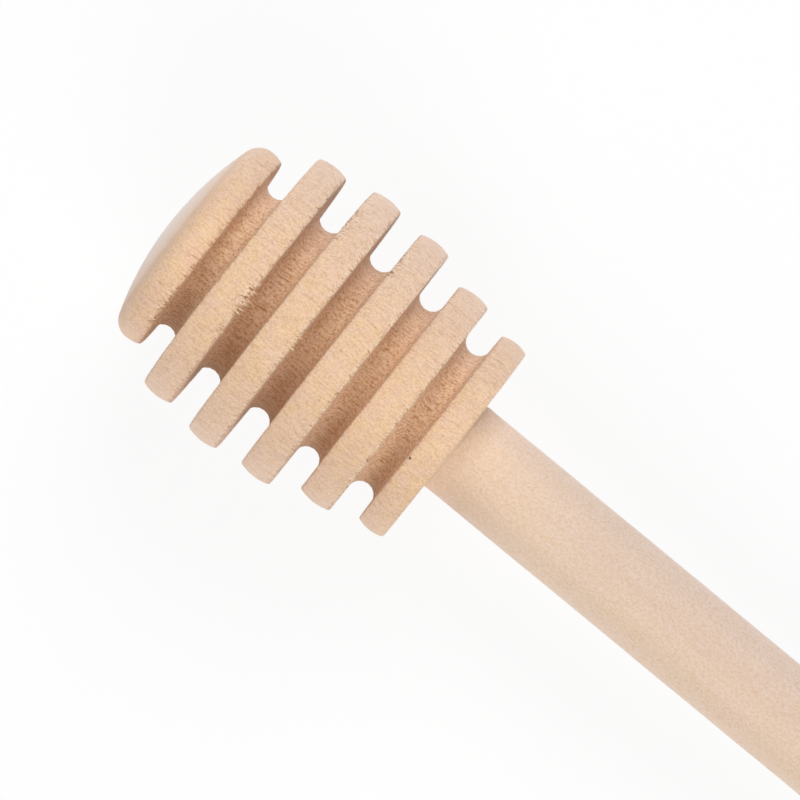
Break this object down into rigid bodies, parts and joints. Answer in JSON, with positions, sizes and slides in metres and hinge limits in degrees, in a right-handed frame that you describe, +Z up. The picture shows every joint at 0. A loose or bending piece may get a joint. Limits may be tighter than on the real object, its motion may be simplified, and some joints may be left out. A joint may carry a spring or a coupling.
{
  "type": "honey dipper",
  "caption": "Turned wooden honey dipper: a domed barrel-shaped head with deep ring grooves, glued askew onto a plain round dowel handle, lying on its side.",
  "frame": {"origin": "on the surface that the dipper lies on, under the middle of its length and of its largest ring", "axes": "+X from the domed head along the handle to the butt, +Z up from the surface; the handle falls 3.7 degrees towards the butt, and the head's axis turns 1.26 degrees towards -Y"},
  "size_m": [0.1601, 0.028, 0.028],
  "materials": {
    "head_wood": "turned and left bare, rough on the ring crests",
    "handle_wood": "sanded smooth and left bare",
    "wood_glue": "cured wood glue, dull and slightly yellow"
  },
  "bodies": {
    "root": {"grooved_head": "head_wood", "handle": "handle_wood", "glue_film": "wood_glue"}
  },
  "joints": []
}
